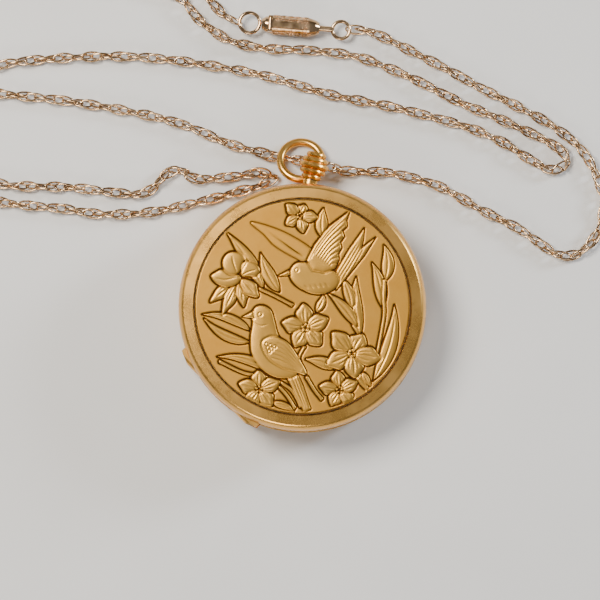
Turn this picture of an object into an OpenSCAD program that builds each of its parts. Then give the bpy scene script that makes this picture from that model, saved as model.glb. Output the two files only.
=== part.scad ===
// Hunter pocket watch on a neck chain, lying on its back with the lid shut.
// Millimetres. +Z is up through the lid, +Y points to the pendant, and the origin is
// the middle of the flat face of the back cover, which is what the watch rests on.

/* [Case] */
// Outside diameter of the lid and of the back cover
lid_d = 34; // [30:0.5:42]
// Height of the back cover
back_h = 2.4; // [2.2:0.1:3.5]
// Height of the band between the two covers
band_h = 4.8; // [4.6:0.1:6]
// Height of the lid
lid_h = 2.6; // [2.4:0.1:3.5]
// Wall of the lid and of the back cover
cover_wall = 0.5; // [0.4:0.05:0.7]
// Wall of the band
band_wall = 2.4; // [2.2:0.1:3.5]
// Step from the edge of the lid in to the band
band_step = 0.4; // [0.3:0.05:0.6]
// Width of the plain rim outside the engraved groove
rim_w = 2.15; // [1.8:0.05:2.6]
// Width of the engraved groove
groove_w = 0.3; // [0.2:0.05:0.5]
// Depth of the engraved groove
groove_h = 0.12; // [0.08:0.01:0.2]
// How far the lid's panel lies below its rim, which is the room for its relief
panel_sink = 0.22; // [0.1:0.01:0.25]
// Width of the rounded edge outside the rim's flat
edge_w = 0.9; // [0.6:0.1:1.2]
// Gap between the lid or back cover and the band
cover_gap = 0.08; // [0.05:0.01:0.15]

/* [Hinges] */
// Direction of both hinges from the middle, in degrees from +X
hinge_az = 227; // [215:1:240]
// Length of a hinge
hinge_l = 14.6; // [12:0.2:16]
// Diameter of the hinge knuckles
knuckle_d = 1.1; // [1:0.05:1.4]
// Diameter of the hinge pins
hinge_pin_d = 0.4; // [0.3:0.05:0.5]
// Radial clearance of a moving part round its pin
fit = 0.03; // [0.02:0.01:0.06]

/* [Pendant] */
// Lean of the pendant and crown to the right of +Y
lean = 11; // [0:1:14]
// How far inside the edge of the lid the split stem has its joint
stem_split_in = 1; // [0.6:0.1:1.5]
// Diameter of the pendant neck
neck_d = 2.0; // [1.8:0.1:2.4]
// Diameter of the stem
stem_d = 0.7; // [0.6:0.05:0.9]
// Widest diameter of the crown
crown_d = 4.2; // [3.6:0.1:4.6]
// Length of the crown
crown_l = 3.8; // [3.4:0.1:4.4]
// Number of turned ribs round the crown
crown_ribs = 5; // [4:1:7]
// Outside diameter of the bow ring
bow_d = 6.8; // [6.4:0.1:7.6]
// Thickness of the bow wire
bow_wire = 1.1; // [0.9:0.05:1.2]
// Droop of the bow towards the table
bow_droop = 21.5; // [18:0.5:26]
// Travel of the crown when it is pressed
press = 0.25; // [0.2:0.05:0.35]

/* [Movement] */
// Thickness of the main plate
plate_t = 1.0; // [0.9:0.05:1.2]
// Thickness of the bridges and cocks
bridge_t = 0.45; // [0.4:0.05:0.6]
// Thickness of a train wheel
wheel_t = 0.14; // [0.1:0.01:0.2]
// Diameter of a train arbor
arbor_d = 0.4; // [0.3:0.05:0.5]
// Diameter of a pivot in its jewel
pivot_d = 0.2; // [0.16:0.02:0.24]
// Radial clearance of a pivot in its jewel
pivot_fit = 0.02; // [0.015:0.005:0.03]
// Diameter of the balance
balance_d = 7.2; // [6.4:0.1:7.6]
// Number of teeth of the barrel
barrel_n = 72; // [72:12:84]

/* [Dial and glass] */
// Thickness of the dial
dial_t = 0.25; // [0.2:0.05:0.4]
// Thickness of the hands
hand_t = 0.12; // [0.1:0.01:0.15]
// Thickness of the glass
glass_t = 0.5; // [0.4:0.05:0.7]

/* [Chain] */
// Width of the link chain
chain_d = 1.5; // [1.2:0.1:1.6]
// Wire of the clasp loops
loop_wire = 0.5; // [0.4:0.05:0.6]
// Length of the clasp barrel
clasp_l = 8; // [7:0.5:9]

/* [Hidden] */
$fn = 64;

GOLD = "#c8a05f";
STEEL = "#c9ccd2";
BRASS = "#d2b46a";
CHAIN_GOLD = "#d6b088";

// Case heights
lid_r = lid_d / 2;
band_r = lid_r - band_step;
band_in = band_r - band_wall;
band_z = back_h + cover_gap;
band_top = band_z + band_h;
lid_z = band_top + cover_gap;
groove_r = lid_r - rim_w;
flat_r = groove_r - groove_w / 2;
hinge_r = band_r - knuckle_d / 2 + 0.05;
lip_in = band_in + 1.75;
ceiling_r = flat_r - 1.2;

// Movement, set out in units that follow the room inside the band
ring_gap = 0.06;
movement_r = band_in - 0.7;
mu = movement_r / 13.5;
cuvette_t = 0.25;
bridge_z = back_h + cuvette_t + 0.15;
wheels_z = bridge_z + bridge_t;
wheels_h = 1.25;
plate_z = wheels_z + wheels_h;
plate_top = plate_z + plate_t;
dial_z = plate_top + 0.55;
dial_top = dial_z + dial_t;
stem_z = plate_z + plate_t - 0.45;
layer_gap = 0.05;
centre_wheel_z = wheels_z + layer_gap;
third_wheel_z = centre_wheel_z + wheel_t + layer_gap;
drum_z = third_wheel_z + wheel_t + layer_gap;
fourth_wheel_z = drum_z + 0.2;
balance_z = wheels_z + 0.3;
escape_z = fourth_wheel_z + 0.3;
pallet_cock_z = escape_z - 0.28;
pallet_cock_t = 0.18;
barrel_teeth_z = plate_z - 0.3;
drum_top = plate_z + plate_t - 0.35;

// Train: tooth counts, modules and where each arbor stands
centre_n = 64;
third_n = 60;
fourth_n = 60;
centre_leaves = 12;
third_leaves = 8;
fourth_leaves = 8;
escape_leaves = 6;
escape_n = 15;
barrel_m = 0.155 * mu;
centre_m = 0.115 * mu;
third_m = 0.105 * mu;
fourth_m = 0.095 * mu;
seconds_r = 6.4 * mu;
barrel_az = 35;
barrel_c = (barrel_n + centre_leaves) * barrel_m / 2 * [cos(barrel_az), sin(barrel_az)];
third_reach = (centre_n + third_leaves) * centre_m / 2;
fourth_reach = (third_n + fourth_leaves) * third_m / 2;
fourth_c = [0, -seconds_r];
third_y = -(seconds_r + (third_reach * third_reach - fourth_reach * fourth_reach) / seconds_r) / 2;
third_c = [sqrt(third_reach * third_reach - third_y * third_y), third_y];
escape_az = 200;
escape_reach = (fourth_n + escape_leaves) * fourth_m / 2;
escape_c = fourth_c + escape_reach * [cos(escape_az), sin(escape_az)];
escape_r = 1.75 * mu;
pallet_az = 139;
pallet_reach = 2.55 * mu;
pallet_c = escape_c + pallet_reach * [cos(pallet_az), sin(pallet_az)];
balance_az = 139;
balance_reach = 2.9 * mu;
balance_c = pallet_c + balance_reach * [cos(balance_az), sin(balance_az)];
balance_r = balance_d / 2 * mu;

// Motion work behind the dial
cannon_n = 12;
minute_n = 36;
minute_leaves = 10;
hour_n = 40;
motion_m = 0.11 * mu;
hour_m = motion_m * (cannon_n + minute_n) / (minute_leaves + hour_n);
minute_az = 60;
minute_c = (cannon_n + minute_n) * motion_m / 2 * [cos(minute_az), sin(minute_az)];

// Keyless work: the crown wheel sits between the stem and the ratchet wheel
ratchet_n = 48;
crown_wheel_n = 30;
winding_m = 0.16 * mu;
ratchet_z = bridge_z + 0.02;
crown_wheel_reach = (ratchet_n + crown_wheel_n) * winding_m / 2;
crown_wheel_c = [0, barrel_c[1] + sqrt(pow(crown_wheel_reach, 2) - pow(barrel_c[0], 2))];
winding_n = 10;
winding_r = 0.85;
drum_r = barrel_n * barrel_m / 2 - barrel_m * 1.6;

// Balance, pallets and hands
seconds_hand_z = dial_top + 0.12;
hour_hand_z = dial_top + 0.38;
minute_hand_z = hour_hand_z + 0.3;
glass_z = minute_hand_z + 0.5;
glass_r = band_in + 0.1;

// Pendant direction and the eye that the bow ring hangs in
stem_split_r = lid_r - stem_split_in;
neck_end = lid_r - stem_split_r + 0.75;
crown_base = neck_end + 0.1;
bow_r = (bow_d - bow_wire) / 2;
bow_low = bow_wire / 2 + 0.05;
bow_mid_z = bow_low + bow_r * sin(bow_droop);
bow_near = [0.35, lid_r + 1.2];
bow_near_z = bow_mid_z + bow_r * 0.83 * sin(bow_droop);
bow_mid = bow_near + [-1.45, 2.4];
solder = 0.03;
eye_wire = 0.28;
eye_r = 0.82;
eye_turn = 31;
lug_z = back_h + 0.4;
eye_out = sqrt(pow(eye_r, 2) - pow(lug_z - bow_near_z, 2));
catch_w = 2.4;
catch_t = 0.5;

// Chain route over the table, as x and y of each turn of the strand
chain_z = chain_d / 2 + 0.05;
chain_out = lid_r - 17;
link_d = 0.6;
right_route = [[5.5, 19.5], [8, 19.5], [11.5, 19.5], [18, 18], [24, 15], [29.5, 12.5],
    [34.5, 9.5], [37.5, 9.5], [40, 12], [41, 16], [40, 20], [37.5, 24], [33.5, 27],
    [28.5, 29.5], [23, 32], [19, 34], [13.5, 36.5], [9, 38.5], [6.5, 39.5]];
left_route = [[-6.5, 21.5], [-11, 22.5], [-18, 25], [-26, 26.5], [-34.5, 27.5],
    [-42.5, 28], [-45.5, 28.5], [-46.5, 30], [-45, 31.5], [-38, 33],
    [-24, 34], [-8.5, 32.5], [2.5, 30], [12, 28.5], [21, 26.5], [26.5, 24.5],
    [31, 22], [34, 21], [35.5, 22.5], [33.5, 24.5], [26.5, 27.5], [21, 29.5],
    [15.5, 32], [10.5, 34], [5.5, 35.5], [-1, 36], [-7, 36], [-12, 37], [-16, 39.5],
    [-20, 43], [-29.5, 44], [-39.5, 44], [-47, 42.5], [-49, 38], [-49, 22.5],
    [-47.5, 17.5], [-42, 15.5], [-33, 15.5], [-25, 15], [-22, 15.5], [-19.5, 18],
    [-17.5, 18.5], [-15.5, 17.5], [-10.5, 18], [-6.5, 18.8]];
last_route = [[-6.5, 17], [-11, 15.5], [-16, 14], [-22, 12.5], [-28.5, 12],
    [-33.5, 12.5], [-42, 13], [-48, 14.5], [-51, 18], [-51.5, 32], [-51.5, 40],
    [-49, 45], [-39.5, 46.5], [-28, 46.5], [-20, 45.5], [-15.5, 43], [-13.3, 40.8]];
through_route = [[-5.3, 21.1, 0.5], [-4, 21, 0.5], [-2.5, 20.8, 1], [0, 20.4, 2.2],
    [1.2, 20.1, 2.8], [2.2, 20, 2.8], [3.4, 19.8, 1.85], [4.4, 19.6, 0.9]];

// Clasp, on the table behind the watch
clasp_c = [-3.4, 39.2];
clasp_az = -2;
clasp_r = 1.3;
clasp_z = clasp_r + 0.15;
loop_r = 1.4;

// ---------- shapes that repeat ----------

// Carries its children to the hinge side: +X runs out through the hinge, +Y along its pin.
module at_hinge(z) {
    rotate([0, 0, hinge_az]) translate([hinge_r, 0, z]) children();
}

// A rod along Y, centred on its own middle.
module rod(d, l) {
    rotate([90, 0, 0]) cylinder(d = d, h = l, center = true);
}

// Turned solid from an outline of [radius, height] points.
module turned(points, fn = 96) {
    rotate_extrude($fn = fn) polygon(points);
}

// Outline of a toothed wheel with the middle of its first tooth on +X.
function tooth_points(n, m, share) = [for (i = [0:n - 1]) let (a = i * 360 / n, p = 360 / n)
    each [
        (n * m / 2 - 1.25 * m) * [cos(a - p * share * 0.62), sin(a - p * share * 0.62)],
        (n * m / 2 + 0.95 * m) * [cos(a - p * share * 0.26), sin(a - p * share * 0.26)],
        (n * m / 2 + 0.95 * m) * [cos(a + p * share * 0.26), sin(a + p * share * 0.26)],
        (n * m / 2 - 1.25 * m) * [cos(a + p * share * 0.62), sin(a + p * share * 0.62)]
    ]];

module toothed(n, m, h, share = 0.42) {
    linear_extrude(h) polygon(tooth_points(n, m, share));
}

// A train wheel: toothed rim, crossed spokes and a hub.
module crossed_wheel(n, m, h, spokes = 5) {
    rim = n * m / 2 - 3.2 * m;
    difference() {
        toothed(n, m, h);
        translate([0, 0, -1]) cylinder(r = rim, h = h + 2);
    }
    cylinder(r = arbor_d * 1.1, h = h);
    for (i = [0:spokes - 1]) rotate([0, 0, i * 360 / spokes + 18])
        translate([arbor_d * 0.9, -arbor_d * 0.3, 0]) cube([rim + m - arbor_d * 0.9, arbor_d * 0.6, h]);
}

// An arbor with a thinner pivot at each end, from z0 to z1, its shoulders pivot_l inside.
pivot_l = 0.35;
module arbor(z0, z1) {
    translate([0, 0, z0]) cylinder(d = pivot_d, h = z1 - z0);
    translate([0, 0, z0 + pivot_l]) cylinder(d = arbor_d, h = z1 - z0 - 2 * pivot_l);
}

// A pinion with its first gap on +X.
module pinion(n, m, h) {
    rotate([0, 0, 180 / n]) toothed(n, m, h, 0.36);
}

// Round tube swept along a route of points, on the table where a point gives no height.
function heading(pts, i) = let (
    a = pts[max(i - 1, 0)], b = pts[min(i + 1, len(pts) - 1)]) atan2(b[1] - a[1], b[0] - a[0]);
function height(p) = len(p) > 2 ? p[2] : chain_z;
module strand(pts, d, sides = 8) {
    rings = [for (i = [0:len(pts) - 1]) let (h = heading(pts, i)) for (k = [0:sides - 1])
        let (a = (k + 0.5) * 360 / sides)
            [pts[i][0] - sin(h) * cos(a) * d / 2, pts[i][1] + cos(h) * cos(a) * d / 2,
                height(pts[i]) + sin(a) * d / 2]];
    walls = [for (i = [0:len(pts) - 2]) for (k = [0:sides - 1]) let (n = (k + 1) % sides)
        [i * sides + k, i * sides + n, (i + 1) * sides + n, (i + 1) * sides + k]];
    start = [for (k = [sides - 1:-1:0]) k];
    finish = [for (k = [0:sides - 1]) (len(pts) - 1) * sides + k];
    polyhedron(points = rings, faces = concat(walls, [start, finish]), convexity = 6);
}

// ---------- case ----------

// Outline of a cover, as radius and height above its seat: panel, groove, round rim.
function cover_outline(h, sink) = let (floor = h - max(groove_h, sink + 0.03)) concat(
    [[0, h - sink], [flat_r, h - sink], [flat_r + groove_w * 0.25, floor],
        [flat_r + groove_w * 0.75, floor], [flat_r + groove_w, h]],
    [for (a = [80:-10:0]) [lid_r - edge_w + edge_w * cos(a), h * 0.3 + (h * 0.7 - 0.02) * sin(a)]],
    [[lid_r, 0.12], [lid_r - 0.12, 0], [lip_in + 0.3, 0], [lip_in + 0.3, h * 0.3],
        [lip_in, h * 0.3 + 0.2], [ceiling_r, h - cover_wall], [0, h - cover_wall]]);

// Room round the knuckles, open to the outside, l long.
module hinge_room(l) {
    translate([-knuckle_d / 2 - 0.08, -l / 2, -knuckle_d / 2 - 0.1])
        cube([knuckle_d + 2, l, knuckle_d + 0.2]);
}

middle_l = hinge_l * 0.5;
end_l = (hinge_l - middle_l) / 2 - 0.06;
end_y = (hinge_l - end_l) / 2;
web = knuckle_d / 2 + 0.25;

// What the hinge ends are trimmed to, so that they stand only a little proud of the rim.
module hinge_trim() {
    translate([0, 0, -5]) cylinder(r = lid_r + 0.58, h = 30);
}

// Middle knuckle of a hinge with its web, side = -1 below the pin and 1 above it.
module middle_knuckle(side) {
    difference() {
        union() {
            rod(knuckle_d, middle_l);
            translate([-web, -middle_l / 2, side < 0 ? -web : 0]) cube([web, middle_l, web]);
        }
        rod(hinge_pin_d, middle_l + 1);
    }
}

// The two end knuckles of a hinge with their webs.
module end_knuckles(side) {
    for (e = [-1, 1]) translate([0, e * end_y, 0]) difference() {
        union() {
            rod(knuckle_d, end_l);
            translate([-web, -end_l / 2, side < 0 ? -web - 0.1 : 0]) cube([web + 0.15, end_l, web + 0.1]);
        }
        rod(hinge_pin_d + 2 * fit, end_l + 1);
    }
}

module band() {
    color(GOLD) {
        difference() {
            turned([[band_in, band_z], [band_r - 0.15, band_z], [band_r, band_z + 0.15],
                [band_r, band_top - 0.15], [band_r - 0.15, band_top], [band_in + 0.65, band_top],
                [band_in + 0.65, band_top - 0.5], [band_in, band_top - 0.5]], 120);
            for (z = [band_z, band_top]) at_hinge(z) hinge_room(hinge_l + 0.2);
            translate([0, stem_split_r, stem_z]) rod(stem_d + 2 * fit, 8);
            translate([0, stem_split_r, stem_z]) rotate([0, 0, -lean]) rod(neck_d, 6);
            translate([-catch_w / 2 - 0.1, band_in + 0.7, stem_z + neck_d / 2 + 0.1])
                cube([catch_w + 0.2, lip_in - band_in - 0.7, band_h]);
            translate([0, 0, -1]) cylinder(r = band_in, h = 20);
        }
        intersection() {
            union() {
                at_hinge(band_top) middle_knuckle(-1);
                at_hinge(band_z) middle_knuckle(1);
            }
            hinge_trim();
        }
    }
}

// Neck soldered into the band, leaning to the right, with a flared collar and an eye below it.
module pendant() {
    color(GOLD) translate([0, stem_split_r, stem_z]) {
        difference() {
            union() {
                rotate([0, 0, -lean]) rotate([-90, 0, 0]) translate([0, 0, -0.4])
                    cylinder(d = neck_d - 0.02, h = neck_end + 0.4);
                intersection() {
                    rotate([-90, 0, 0]) rotate_extrude() polygon([[0, 0], [2.4, 0], [2.3, 0.85],
                        [1.7, 1.02], [neck_d / 2, 1.2], [0, 1.2]]);
                    translate([0, -stem_split_r, -3]) difference() {
                        cylinder(r = lid_r + 3, h = 6);
                        translate([0, 0, -1]) cylinder(r = band_r + solder, h = 8);
                    }
                }
            }
            rotate([0, 0, -lean]) rod(stem_d + 2 * fit, 8);
            translate([0, -1, 0]) rod(stem_d + 0.3, 2);
        }
        translate([bow_near[0], bow_near[1] - stem_split_r, bow_near_z - stem_z])
            rotate([0, 90, eye_turn]) rotate_extrude() translate([eye_r, 0])
                circle(d = eye_wire, $fn = 24);
        translate([bow_near[0] + eye_out * sin(eye_turn), band_r - stem_split_r, lug_z - stem_z])
            rotate([-90, 0, 0])
                cylinder(d = 0.5, h = bow_near[1] - eye_out * cos(eye_turn) - band_r + 0.08);
    }
}

module lid() {
    color(GOLD) {
        difference() {
            translate([0, 0, lid_z]) turned(cover_outline(lid_h, panel_sink), 120);
            at_hinge(band_top) hinge_room(hinge_l + 0.2);
        }
        intersection() {
            at_hinge(band_top) end_knuckles(1);
            hinge_trim();
        }
    }
}

module back_cover() {
    color(GOLD) {
        difference() {
            translate([0, 0, back_h]) mirror([0, 0, 1]) turned(cover_outline(back_h, 0), 120);
            at_hinge(band_z) hinge_room(hinge_l + 0.2);
        }
        intersection() {
            at_hinge(band_z) end_knuckles(-1);
            hinge_trim();
        }
    }
}

module hinge_pin(z) {
    color(STEEL) intersection() {
        at_hinge(z) rod(hinge_pin_d - 0.01, hinge_l - 0.1);
        hinge_trim();
    }
}
module lid_hinge_pin() { hinge_pin(band_top); }
module back_hinge_pin() { hinge_pin(band_z); }

// Inner dust cover that snaps into the back of the band.
module cuvette() {
    color(GOLD) turned([[0, back_h + 0.02], [band_in - 0.4, back_h + 0.02],
        [band_in - 0.05, back_h + 0.12], [band_in - 0.05, back_h + 0.6], [band_in - 0.3, back_h + 0.6],
        [band_in - 0.3, back_h + cuvette_t], [0, back_h + cuvette_t]]);
}

// Curved strip in the band that throws the lid open.
module lid_spring() {
    color(STEEL) translate([0, 0, dial_z + 0.1]) {
        rotate([0, 0, hinge_az - 200]) rotate_extrude(angle = 70)
            translate([band_in - 0.3, 0]) square([0.27, 0.6]);
    }
}

// Strip that holds the lid shut until the crown presses it inward.
module lid_catch() {
    color(STEEL) translate([0, lip_in - 0.06 - catch_t, stem_z + neck_d / 2 + 0.2]) {
        translate([-catch_w / 2, 0, 0]) cube([catch_w, catch_t, band_top - stem_z - neck_d / 2 + 0.25]);
    }
}

module bezel() {
    color(GOLD) turned([[glass_r - 0.5, band_top - 0.45], [band_in + 0.6, band_top - 0.45],
        [band_in + 0.6, band_top], [glass_r + 0.25, glass_z + 0.35], [glass_r + 0.02, glass_z + 0.35],
        [glass_r + 0.02, glass_z - 0.02], [glass_r - 0.5, glass_z - 0.02]]);
}

module glass() {
    color([0.85, 0.9, 0.95, 0.4]) translate([0, 0, glass_z]) turned(concat([[0, 0.35]],
        [for (i = [1:5]) [(glass_r - 0.6) * i / 5, 0.35 * cos(i * 18)]], [[glass_r, 0], [glass_r, 0.3]],
        [for (i = [5:-1:0]) [(glass_r - 0.4) * i / 5, glass_t + 0.35 * cos(i * 18)]]));
}

module bow() {
    color(GOLD) translate([bow_mid[0], bow_mid[1], bow_mid_z]) rotate([-bow_droop, 0, 0])
        rotate_extrude($fn = 96) translate([bow_r, 0]) circle(d = bow_wire, $fn = 32);
}

// Turned crown: ribs round a barrel shape, bored for its stem.
module crown() {
    rib = crown_l / crown_ribs;
    widths = [for (i = [0:crown_ribs - 1]) crown_d / 2 * (1 - 0.13 * pow(abs(i - 2), 1.35))];
    color(GOLD) translate([0, stem_split_r, stem_z]) rotate([0, 0, -lean]) rotate([-90, 0, 0])
        translate([0, 0, crown_base]) difference() {
            turned(concat([[0, 0]], [for (i = [0:crown_ribs - 1]) each
                [for (t = [0:4]) [widths[i] - 0.24 * (1 - sin(8 + t * 41)),
                    rib * (i + 0.04 + t * 0.23)]]],
                [[0, crown_l]]));
            translate([0, 0, -0.1]) cylinder(d = stem_d + 2 * fit, h = crown_l * 0.6 + 0.1);
            translate([0, 0, -0.1]) cylinder(d = neck_d + 0.12, h = press + 0.25);
        }
}

// Outer half of the split stem, which turns in the pendant.
module crown_stem() {
    color(STEEL) translate([0, stem_split_r, stem_z]) rotate([0, 0, -lean]) rotate([-90, 0, 0])
        translate([0, 0, 0.35]) cylinder(d = stem_d, h = crown_base + crown_l * 0.6 - 0.4);
}

// ---------- movement ----------

stem_in = crown_wheel_c[1] + 0.35;

// Inner half of the split stem with its winding pinion.
module winding_stem() {
    color(STEEL) translate([0, 0, stem_z]) rotate([-90, 0, 0]) {
        translate([0, 0, stem_in]) cylinder(d = stem_d, h = stem_split_r - 0.65 - press - stem_in);
        translate([0, 0, stem_in]) toothed(winding_n, winding_r * 2 / (winding_n + 1.9), 0.75, 0.4);
        translate([0, 0, stem_in + 2]) cylinder(d = stem_d + 0.5, h = 0.7);
    }
}

module movement_ring() {
    color(BRASS) translate([0, 0, plate_z]) difference() {
        cylinder(r = band_in - ring_gap, h = plate_t);
        translate([0, 0, -1]) cylinder(r = movement_r + ring_gap, h = 4);
        translate([0, 0, stem_z - plate_z]) rotate([-90, 0, 0]) cylinder(d = stem_d + 0.3, h = 20);
    }
}

arbors = [third_c, fourth_c, escape_c, pallet_c, balance_c];
jewel_d = 1.0;
pillars = [[movement_r - 0.9, 118], [movement_r - 0.9, -22], [movement_r - 0.9, 82],
    [movement_r - 0.9, 305], [movement_r - 0.9, 285], [movement_r - 0.9, 258], [movement_r - 0.9, 176],
    [movement_r - 0.9, 246]];
function polar(p) = p[0] * [cos(p[1]), sin(p[1])];

module main_plate() {
    color(BRASS) difference() {
        translate([0, 0, plate_z]) cylinder(r = movement_r, h = plate_t, $fn = 120);
        translate([barrel_c[0], barrel_c[1], plate_z - 1])
            cylinder(r = barrel_n * barrel_m / 2 + 0.45, h = drum_top - plate_z + 1.06);
        translate([barrel_c[0], barrel_c[1], plate_z - 1]) cylinder(d = arbor_d * 2 + 2 * fit, h = 5);
        translate([0, 0, plate_z - 1]) cylinder(d = arbor_d + 0.6 + 2 * fit, h = 5);
        translate([0, 0, stem_z]) rotate([-90, 0, 0]) translate([0, 0, stem_in - 0.6])
            cylinder(d = stem_d + 0.7, h = 20);
        translate([-1.05, stem_in - 0.4, plate_z - 1]) cube([2.1, 1.6, 5]);
        for (c = arbors) translate([c[0], c[1], plate_z - 1]) cylinder(d = jewel_d, h = 5);
        for (p = pillars) translate([polar(p)[0], polar(p)[1], plate_z - 1]) cylinder(d = 0.6, h = 1.5);
    }
    color(BRASS) translate([minute_c[0], minute_c[1], plate_top - 0.2])
        cylinder(d = arbor_d, h = dial_z - plate_top + 0.1);
}

// Pillar under a bridge with the hole for its screw.
module pillar(p) {
    translate([polar(p)[0], polar(p)[1], wheels_z - 0.1]) cylinder(d = 1.3, h = plate_z - wheels_z + 0.1);
}

module screw_hole(p) {
    translate([polar(p)[0], polar(p)[1], bridge_z - 1]) cylinder(d = 0.64, h = 4);
    translate([polar(p)[0], polar(p)[1], bridge_z - 1]) cylinder(d = 1.1, h = 1.2);
}

// A bridge: the part of the disc inside an outline of polar points, on its pillars.
module bridge(outline, feet, jewelled) {
    difference() {
        union() {
            intersection() {
                translate([0, 0, bridge_z]) cylinder(r = movement_r, h = bridge_t, $fn = 120);
                translate([0, 0, bridge_z]) linear_extrude(bridge_t) polygon([for (p = outline)
                    polar(p)]);
            }
            for (f = feet) pillar(pillars[f]);
        }
        for (f = feet) screw_hole(pillars[f]);
        for (c = jewelled) translate([c[0], c[1], bridge_z - 1]) cylinder(d = jewel_d, h = 3);
        translate([0, 0, bridge_z - 1]) cylinder(d = pivot_d * 2 + 2 * fit, h = 3);
    }
}

far = movement_r * 1.3;

module barrel_bridge() {
    color(BRASS) difference() {
        bridge([[1.0, 200], [3.6 * mu, 158], [far, 158], [far, 125], [far, 90], [far, 50], [far, 20],
            [far, -18], [far, -24], [6 * mu, -28], [1.2 * mu, -60]], [0, 1, 2], []);
        translate([barrel_c[0], barrel_c[1], bridge_z - 1])
            cylinder(r = ratchet_n * winding_m / 2 + 0.3, h = 1 + wheel_t + 0.1);
        translate([barrel_c[0], barrel_c[1], bridge_z - 1]) cylinder(d = arbor_d * 2 + 2 * fit, h = 3);
        translate([crown_wheel_c[0], crown_wheel_c[1], bridge_z - 1])
            cylinder(r = crown_wheel_n * winding_m / 2 + 0.3, h = 1 + wheel_t + 0.1);
        translate([crown_wheel_c[0], crown_wheel_c[1], bridge_z - 1]) cylinder(d = 1.2 + 2 * fit, h = 3);
        translate([click_c[0], click_c[1], bridge_z - 1]) cylinder(r = 1.75, h = 1 + wheel_t + 0.1);
        translate([click_c[0], click_c[1], bridge_z - 1]) cylinder(d = arbor_d + 2 * fit, h = 3);
    }
}

module train_bridge() {
    color(BRASS) bridge([[1.7 * mu, -64], [6.2 * mu, -33], [far, -30], [far, -45], [far, -70], [far, -90],
        [far, -118], [8.4 * mu, -118], [5.2 * mu, -128], [1.7 * mu, -140]], [3, 4, 5],
        [third_c, fourth_c, escape_c]);
}

module balance_cock() {
    color(BRASS) difference() {
        bridge([[balance_reach_c + 0.9, 214], [movement_r * 1.02, 186], [movement_r * 1.02, 172],
            [movement_r * 0.86, 172], [balance_reach_c - 1.2, 204]], [6], [balance_c]);
        translate([0, 0, bridge_z - 1]) cylinder(r = 3, h = 3);
    }
}
balance_reach_c = norm(balance_c);

module pallet_cock() {
    color(BRASS) translate([0, 0, pallet_cock_z]) difference() {
        union() {
            intersection() {
                cylinder(r = movement_r, h = pallet_cock_t);
                linear_extrude(pallet_cock_t) polygon([pallet_c + [0.7, 0.3], pallet_c + [0, 0.75],
                    pallet_c + [-0.7, 0.3], polar([far, 243]), polar([far, 250])]);
            }
            translate([polar(pillars[7])[0], polar(pillars[7])[1], 0])
                cylinder(d = 1.3, h = plate_z - pallet_cock_z);
        }
        translate([polar(pillars[7])[0], polar(pillars[7])[1], -1]) cylinder(d = 0.64, h = 4);
        translate([pallet_c[0], pallet_c[1], -1]) cylinder(d = 0.7, h = 3);
    }
}

// Barrel drum, open towards the dial, with its teeth.
module barrel() {
    color(BRASS) translate([barrel_c[0], barrel_c[1], 0]) difference() {
        union() {
            translate([0, 0, drum_z]) cylinder(r = drum_r, h = drum_top - drum_z - 0.12);
            translate([0, 0, barrel_teeth_z]) rotate([0, 0, barrel_az]) toothed(barrel_n, barrel_m, 0.2);
        }
        translate([0, 0, drum_z + 0.15]) cylinder(r = drum_r - 0.2, h = 3);
        translate([0, 0, drum_z - 1]) cylinder(d = arbor_d * 2 + 2 * fit, h = 3);
    }
}

module barrel_lid() {
    color(BRASS) translate([barrel_c[0], barrel_c[1], drum_top - 0.12]) difference() {
        cylinder(r = drum_r, h = 0.1);
        translate([0, 0, -1]) cylinder(d = arbor_d * 2 + 2 * fit, h = 3);
    }
}

// Mainspring, coiled between the arbor and the drum wall.
module mainspring() {
    turns = 7;
    steps = 20;
    r0 = 1.1 * mu;
    r1 = drum_r - 0.32;
    strip = 0.1;
    spiral = [for (i = [0:turns * steps]) let (t = i / (turns * steps), a = i * 360 / steps)
        [r0 + (r1 - r0) * t, a]];
    color(STEEL) translate([barrel_c[0], barrel_c[1], drum_z + 0.25]) linear_extrude(0.8)
        polygon(concat([for (p = spiral) (p[0] - strip / 2) * [cos(p[1]), sin(p[1])]],
            [for (i = [len(spiral) - 1:-1:0]) (spiral[i][0] + strip / 2) * [cos(spiral[i][1]),
                sin(spiral[i][1])]]));
}

module barrel_arbor() {
    color(STEEL) translate([barrel_c[0], barrel_c[1], 0]) {
        translate([0, 0, ratchet_z + 0.02]) cylinder(d = arbor_d * 2, h = plate_top - ratchet_z - 0.04);
        translate([0, 0, drum_z + 0.22]) cylinder(r = 0.85 * mu, h = 0.85);
    }
}

module ratchet_wheel() {
    color(STEEL) translate([barrel_c[0], barrel_c[1], ratchet_z]) difference() {
        rotate([0, 0, crown_wheel_dir]) toothed(ratchet_n, winding_m, wheel_t);
        translate([0, 0, -1]) cylinder(d = arbor_d * 2 + 0.02, h = 3);
    }
}
crown_wheel_dir = atan2(crown_wheel_c[1] - barrel_c[1], crown_wheel_c[0] - barrel_c[0]);

// Crown wheel in the bridge, on a shank that carries the face teeth for the winding pinion.
module crown_wheel() {
    color(STEEL) translate([crown_wheel_c[0], crown_wheel_c[1], 0]) {
        translate([0, 0, ratchet_z]) rotate([0, 0, crown_wheel_dir + 180 + 180 / crown_wheel_n])
            toothed(crown_wheel_n, winding_m, wheel_t);
        translate([0, 0, ratchet_z]) cylinder(d = 1.2, h = stem_z - winding_r - ratchet_z - 0.08);
        translate([0, 0, stem_z - winding_r - 0.2]) toothed(winding_n,
            winding_r * 1.7 / (winding_n + 1.9), 0.17, 0.4);
    }
}

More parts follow.
